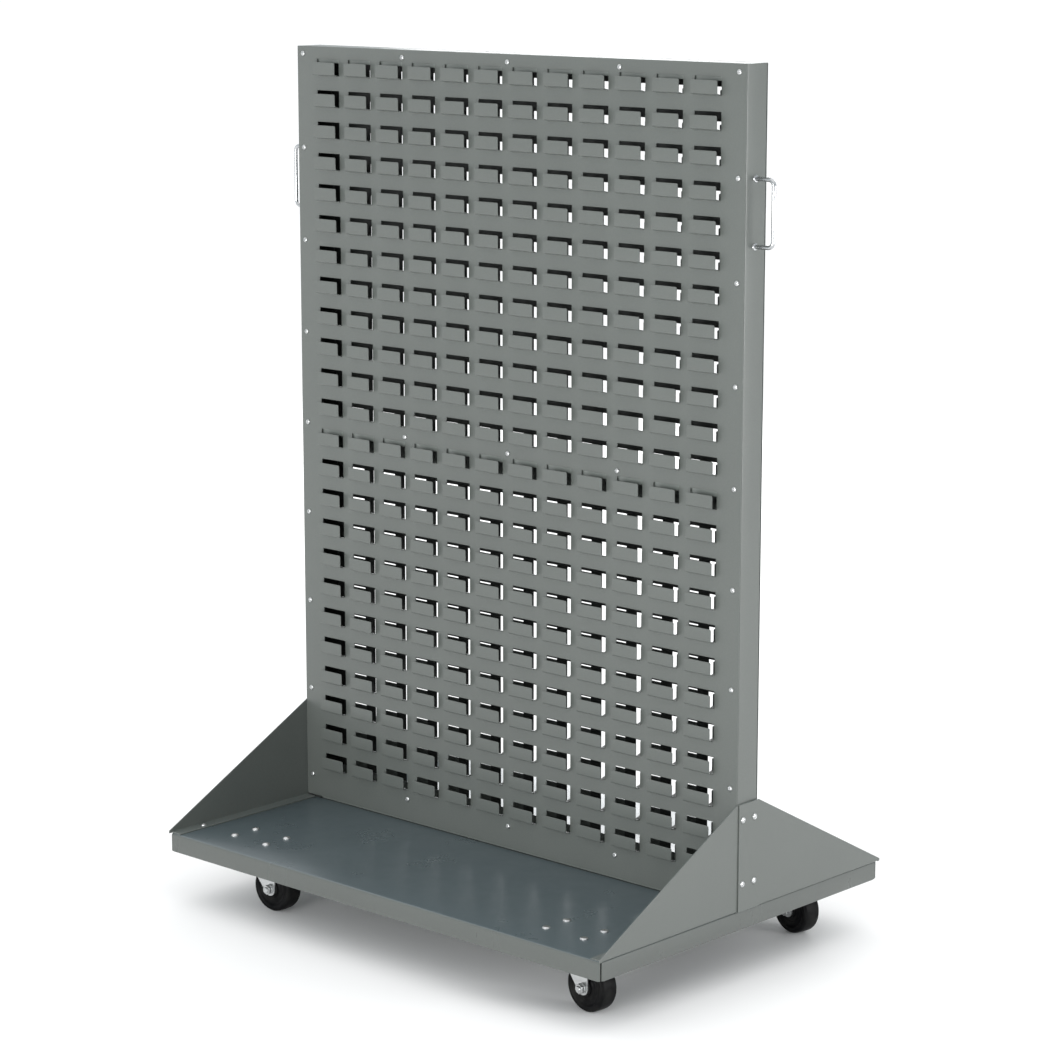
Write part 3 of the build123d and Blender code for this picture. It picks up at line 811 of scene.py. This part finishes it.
# ---- casters ----
def fork_shell():
    """The fork's outer skin: two tapered legs bent down from a crown plate, about the swivel axis."""
    end_radius = 11 * MM
    bend = 4 * MM
    back_x = TRAIL + end_radius
    corner_x = -22 * MM
    crown_back = 30 * MM
    shoulder = 26 * MM
    reach = math.hypot(TRAIL - corner_x, AXLE_Z - CROWN_TOP)
    lean = math.atan2(AXLE_Z - CROWN_TOP, TRAIL - corner_x) - math.asin(end_radius / reach)
    touch_s = math.sqrt(reach**2 - end_radius**2)
    touch = (corner_x + touch_s * math.cos(lean), CROWN_TOP + touch_s * math.sin(lean))

    def limits(z):
        """The leg's front and back edges at a height."""
        if z < AXLE_Z:
            half = math.sqrt(max(0.0, end_radius**2 - (z - AXLE_Z) ** 2))
            back = TRAIL + half
        else:
            back = min(back_x, crown_back + (CROWN_TOP - z) * (back_x - crown_back) / shoulder)
        if z < touch[1]:
            half = math.sqrt(max(0.0, end_radius**2 - (z - AXLE_Z) ** 2))
            return TRAIL - half, back
        share = (CROWN_TOP - z) / (CROWN_TOP - touch[1])
        return corner_x + (touch[0] - corner_x) * share, back

    heights = []
    for step in range(9):
        a = math.radians(-88 + 88 * step / 8)
        heights.append(AXLE_Z + end_radius * math.sin(a))
    heights += [touch[1] + (CROWN_TOP - bend - touch[1]) * step / 8 for step in range(1, 9)]
    heights = sorted(heights)
    stations = [(-FORK_HALF, z, z) for z in heights]
    for step in range(1, 6):
        a = math.radians(90 * step / 5)
        z = CROWN_TOP - bend + bend * math.sin(a)
        stations.append((-FORK_HALF + bend - bend * math.cos(a), z, z))
    mirrored = [(-y, z, key) for y, z, key in reversed(stations)]
    across = 12
    verts, faces = [], []
    for y, z, key in stations + mirrored:
        front, back = limits(key)
        for k in range(across + 1):
            verts.append(Vector((front + (back - front) * k / across, y, z)))
    rows = len(stations) * 2
    for r in range(rows - 1):
        for k in range(across):
            a = r * (across + 1) + k
            faces.append((a, a + 1, a + across + 2, a + across + 1))
    return verts, faces


def wheel_shape():
    """A moulded wheel about +Z: crowned tread with a parting line, stepped sides and a long hub."""
    half = WHEEL_TREAD / MM / 2
    # (radius, distance from the middle) in millimetres, from the bore out to the tread
    right = [
        (7.95, 16.7), (12.2, 16.7), (13.0, 16.1), (13.6, 13.0), (15.2, 11.9), (24.5, 11.0), (26.6, 11.6),
        (28.2, 13.6), (29.4, 14.7), (31.2, 15.1), (33.2, half - 0.3), (34.8, half - 0.7),
        (36.3, half - 2.1), (37.3, half - 3.8), (37.8, half - 6.0), (37.95, 5.0), (38.1, 0.9), (38.1, 0.35),
    ]
    profile = [(r * MM, z * MM) for r, z in right]
    profile += [(r * MM, -z * MM) for r, z in reversed(right)]
    verts, faces = lathe(profile, 72)
    return verts, [tuple(reversed(face)) for face in faces]


def about_axle(part):
    """Lays a shape from +Z onto the axle, which runs towards -Y."""
    turn = Matrix.Rotation(math.radians(90), 4, "X")
    return placed(part, Matrix.Translation((TRAIL, 0, AXLE_Z)) @ turn)


def tyre_lines():
    """Fine moulded rings on the wheel's side walls."""
    parts = []
    for side in (-1, 1):
        z = side * 11.35 * MM
        ring = lathe([(19.5 * MM, z), (20.3 * MM, z + side * 0.5 * MM), (21.1 * MM, z)], 56)
        if side > 0:
            ring = (ring[0], [tuple(reversed(face)) for face in ring[1]])
        parts.append(ring)
    return join(parts)


def caster_hardware():
    """The axle's bolt, with a threaded end, and its nut."""
    head = hexagon(14.2 * MM, 5.0 * MM, 0, 0.9 * MM)
    nut = hexagon(14.2 * MM, 7.5 * MM, 4.75 * MM, 0.9 * MM)
    r = AXLE_RADIUS
    end = FORK_HALF + 9.5 * MM
    threads = []
    steps = 7
    for k in range(steps):
        z = end - 1.0 * MM - (steps - k) * 1.3 * MM
        threads += [(r, z), (r - 0.4 * MM, z + 0.65 * MM)]
    shank = lathe(
        [(0, -FORK_HALF - 2 * MM), (r, -FORK_HALF - 2 * MM)]
        + threads
        + [(r, end - 1 * MM), (r - 0.9 * MM, end), (0, end)],
        28,
    )
    flip = Matrix.Rotation(math.pi, 4, "X")
    bolt = join([shank, placed(head, Matrix.Translation((0, 0, -FORK_HALF)) @ flip)])
    nut = placed(nut, Matrix.Translation((0, 0, FORK_HALF)))
    return about_axle(bolt), about_axle(nut)


def race_and_pin():
    """The fixed upper race ring and the kingpin with its clinched collar."""
    low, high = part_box("caster_front_left_race")
    z0, z1 = low.z, high.z
    ring = lathe(
        [
            (13.5 * MM, z0), (17.0 * MM, z0), (18.0 * MM, z0 + 2.4 * MM), (22.0 * MM, z0 + 2.4 * MM),
            (23.0 * MM, z0), (24.6 * MM, z0), (26.0 * MM, z0 + 1.4 * MM), (26.0 * MM, z1 - 1.8 * MM),
            (24.2 * MM, z1), (13.5 * MM, z1),
        ],
        48,
    )
    pin_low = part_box("caster_front_left_kingpin")[0].z
    collar = CROWN_TOP - 2.8 * MM
    sunk = CASTER_TOP - PLATE_SHEET
    head_top = CASTER_TOP - 0.1 * MM
    pin = lathe(
        [
            (0, pin_low), (3.2 * MM, pin_low), (4.2 * MM, pin_low + 0.7 * MM),
            (8.2 * MM, pin_low + 0.4 * MM), (10 * MM, pin_low + 1.9 * MM), (10 * MM, collar),
            (6 * MM, collar), (6 * MM, sunk), (8.9 * MM, head_top), (0, head_top),
        ],
        36,
    )
    return ring, pin


def crown_disc():
    """The pressed ball track on top of the fork, a shallow disc wider than the legs."""
    top = CROWN_TOP + 0.05 * MM
    under = CROWN_TOP - 2.6 * MM
    return lathe(
        [
            (7 * MM, under), (24.6 * MM, under), (26 * MM, under + 1.0 * MM), (26 * MM, top - 0.7 * MM),
            (25.3 * MM, top), (22.6 * MM, top), (21.4 * MM, top - 0.5 * MM), (18.6 * MM, top - 0.5 * MM),
            (17.4 * MM, top), (7 * MM, top),
        ],
        56,
    )


def casters():
    shell = fork_shell()
    disc = crown_disc()
    wheel = about_axle(join([wheel_shape(), tyre_lines()]))
    bolt, nut = caster_hardware()
    ring, pin = race_and_pin()
    for corner, (side_x, side_y, yaw) in CASTERS.items():
        spot = Matrix.Translation((side_x * CASTER_X, side_y * CASTER_Y, 0))
        turned = spot @ Matrix.Rotation(math.radians(yaw), 4, "Z")
        swivel, roll = f"swivel_{corner}", f"wheel_{corner}"
        fork = make_object(f"pressed_fork_{corner}", *placed(shell, turned))
        thicken(fork, FORK_SHEET, 0.0004)
        add_part(fork, placed(disc, spot))
        settle(fork, zinc_plate, swivel, "caster_zinc", f"caster_{corner}_fork")
        tyre = make_object(f"moulded_wheel_{corner}", *placed(wheel, turned))
        settle(tyre, rubber_black, roll, "wheel_black", f"caster_{corner}_wheel")
        axle = make_object(f"hex_axle_{corner}", *placed(bolt, turned))
        settle(axle, zinc_screw, swivel, "caster_zinc", f"caster_{corner}_axle_bolt")
        lock = make_object(f"hex_nut_{corner}", *placed(nut, turned))
        settle(lock, zinc_screw, swivel, "caster_zinc", f"caster_{corner}_axle_nut")
        race = make_object(f"race_ring_{corner}", *placed(ring, spot))
        settle(race, zinc_plate, "rack", "caster_zinc", f"caster_{corner}_race")
        post = make_object(f"clinched_pin_{corner}", *placed(pin, spot))
        settle(post, zinc_plate, "rack", "caster_zinc", f"caster_{corner}_kingpin")


def carried_over():
    """CAD nodes that stay: they get their real material and soft edges."""
    looks = {"handle_screws": zinc_screw, "upright_bolts": zinc_screw}
    for corner in CASTERS:
        looks[f"caster_{corner}_plate"] = zinc_plate
        looks[f"caster_{corner}_balls"] = zinc_screw
        looks[f"caster_{corner}_sleeve"] = zinc_plate
    for node, material in looks.items():
        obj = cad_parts[node]
        obj.data.materials.clear()
        obj.data.materials.append(material)
        obj.data.shade_smooth()
        obj.data.set_sharp_from_angle(angle=math.radians(38))
        soft_edges(obj, 0.0003, 2)


# ---- stage, lights and camera ----
def stage():
    steps = 96
    radius = 90.0
    angles = np.linspace(0, 2 * math.pi, steps, False)
    verts = [Vector((radius * math.cos(a), radius * math.sin(a), 0)) for a in angles]
    floor = make_object("studio_floor", verts, [tuple(range(steps))])
    nodes = Nodes("studio_floor", 0.0, 0.9)
    nodes.colour(nodes.ramp(nodes.noise(1.5, 2), [(0.3, (0.89, 0.89, 0.89)), (0.7, (0.91, 0.91, 0.91))]))
    nodes.shader.inputs["Specular IOR Level"].default_value = 0.1
    floor.data.materials.append(nodes.material)
    world = bpy.data.worlds.new("studio")
    bpy.context.scene.world = world
    world.use_nodes = True
    tree = world.node_tree
    # a soft dome: bright overhead, a cooler gray lower down
    direction = tree.nodes.new("ShaderNodeTexCoord").outputs["Generated"]
    split = tree.nodes.new("ShaderNodeSeparateXYZ")
    tree.links.new(direction, split.inputs["Vector"])
    ramp = tree.nodes.new("ShaderNodeValToRGB")
    low, high = ramp.color_ramp.elements
    low.position, low.color = 0.25, (0.40, 0.44, 0.46, 1)
    high.position, high.color = 0.8, (1.0, 1.0, 1.0, 1)
    tree.links.new(split.outputs["Z"], ramp.inputs["Fac"])
    background = tree.nodes["Background"]
    tree.links.new(ramp.outputs["Color"], background.inputs["Color"])
    background.inputs["Strength"].default_value = 1.45
    bpy.context.scene.view_settings.view_transform = "Standard"


def soft_light(name, position, target, size, energy, colour=(1, 1, 1)):
    data = bpy.data.lights.new(name, "AREA")
    data.shape = "RECTANGLE"
    data.size, data.size_y = size
    data.energy = energy
    data.color = colour
    obj = bpy.data.objects.new(name, data)
    obj.location = position
    obj.rotation_euler = (Vector(target) - Vector(position)).to_track_quat("-Z", "Y").to_euler()
    bpy.context.scene.collection.objects.link(obj)


def lights():
    middle = (0, 0, 0.65)
    low = (0, 0, 0.3)
    soft_light("key_right", (4.6, 1.5, 0.7), low, (1.6, 1.4), 125)
    soft_light("fill_front", (0.4, -5.4, 1.0), middle, (2.0, 1.8), 120)
    soft_light("fill_left", (-4.9, -2.9, 1.2), middle, (1.6, 2.0), 12)
    soft_light("fill_low", (1.2, -3.0, 0.12), middle, (2.6, 0.7), 50)
    soft_light("fill_rear", (-2.4, 4.2, 1.6), middle, (3.0, 2.0), 60)


def camera():
    azimuth, pitch = math.radians(42.78), math.radians(11.185)
    data = bpy.data.cameras.new("photo_camera")
    data.sensor_width = 36
    data.lens = 105.26
    data.clip_start, data.clip_end = 0.1, 300
    obj = bpy.data.objects.new("photo_camera", data)
    obj.location = (3.1633, -3.4034, 1.5473)
    obj.rotation_euler = (math.pi / 2 - pitch, 0, azimuth)
    bpy.context.scene.collection.objects.link(obj)
    bpy.context.scene.camera = obj


camera()
stage()
lights()
louver_panels()
panel_screws()
posts()
rails()
channels()
tray()
gussets()
gusset_screws()
handles()
caster_bolts()
caster_nuts()
casters()
carried_over()
